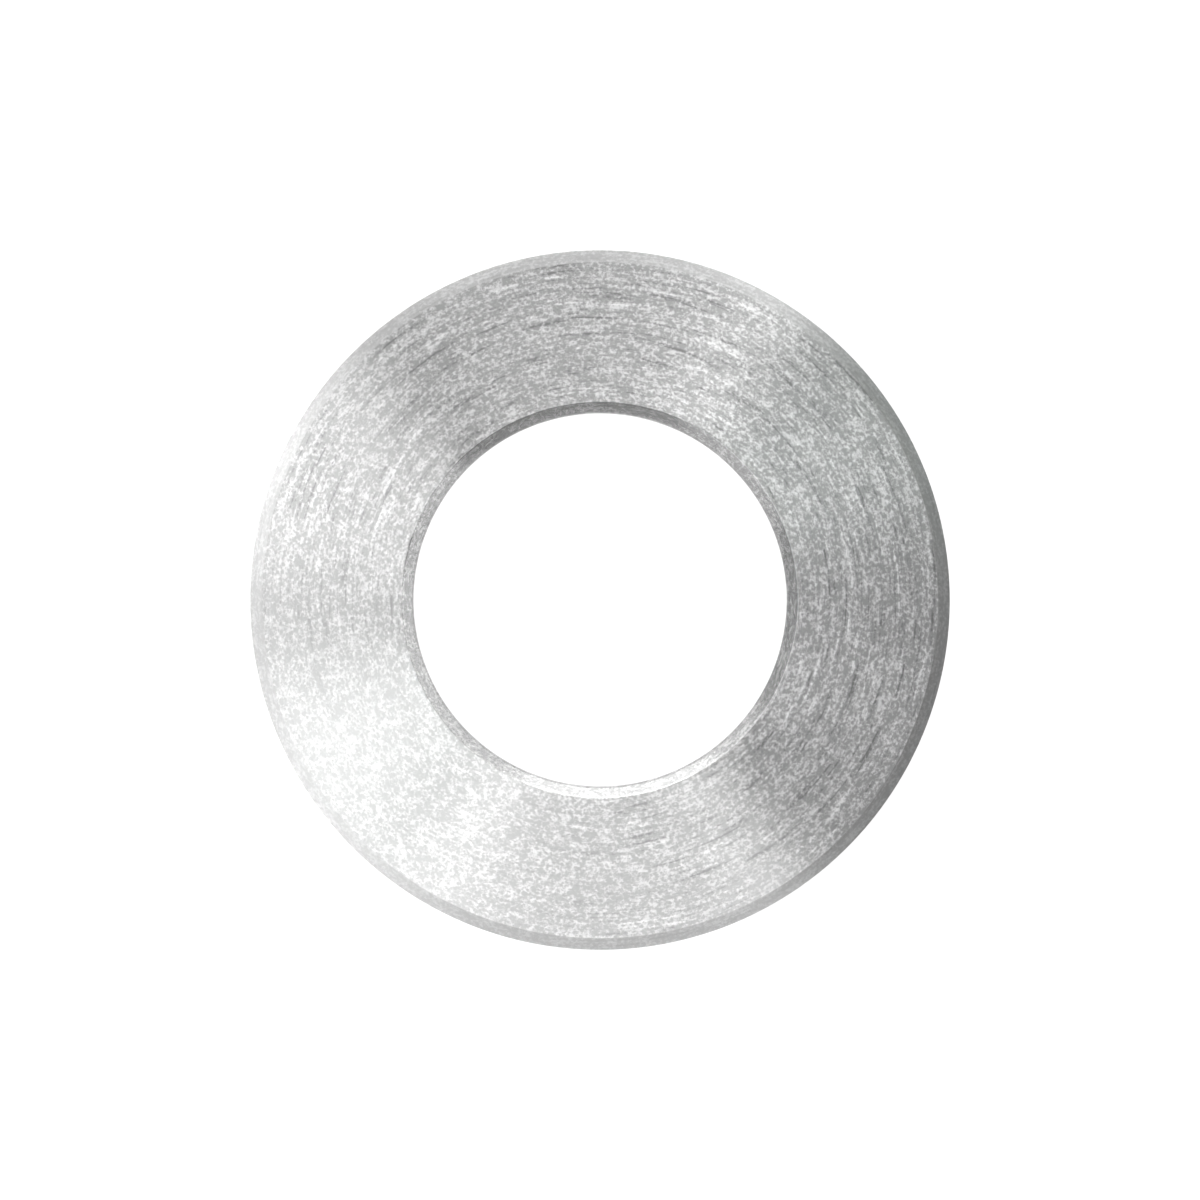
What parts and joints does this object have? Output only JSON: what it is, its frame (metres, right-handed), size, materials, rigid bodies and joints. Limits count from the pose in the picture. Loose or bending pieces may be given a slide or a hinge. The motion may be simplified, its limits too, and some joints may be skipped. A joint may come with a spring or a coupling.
{
  "type": "flat washer",
  "caption": "Flat round steel washer with a plain central bore and small bevels on both edges of its top face, to spread the load under a bolt head or nut.",
  "frame": {"origin": "centre of the rear face, on the bore's axis, where the washer rests", "axes": "+Z along the bore's axis, out of the bevelled top face; +X and +Y are any pair at right angles, because the washer is round"},
  "size_m": [0.012, 0.012, 0.0016],
  "materials": {
    "steel": "bare turned steel, satin, with a fine grain and faint circular tool marks"
  },
  "bodies": {
    "root": {"washer": "steel"}
  },
  "joints": []
}
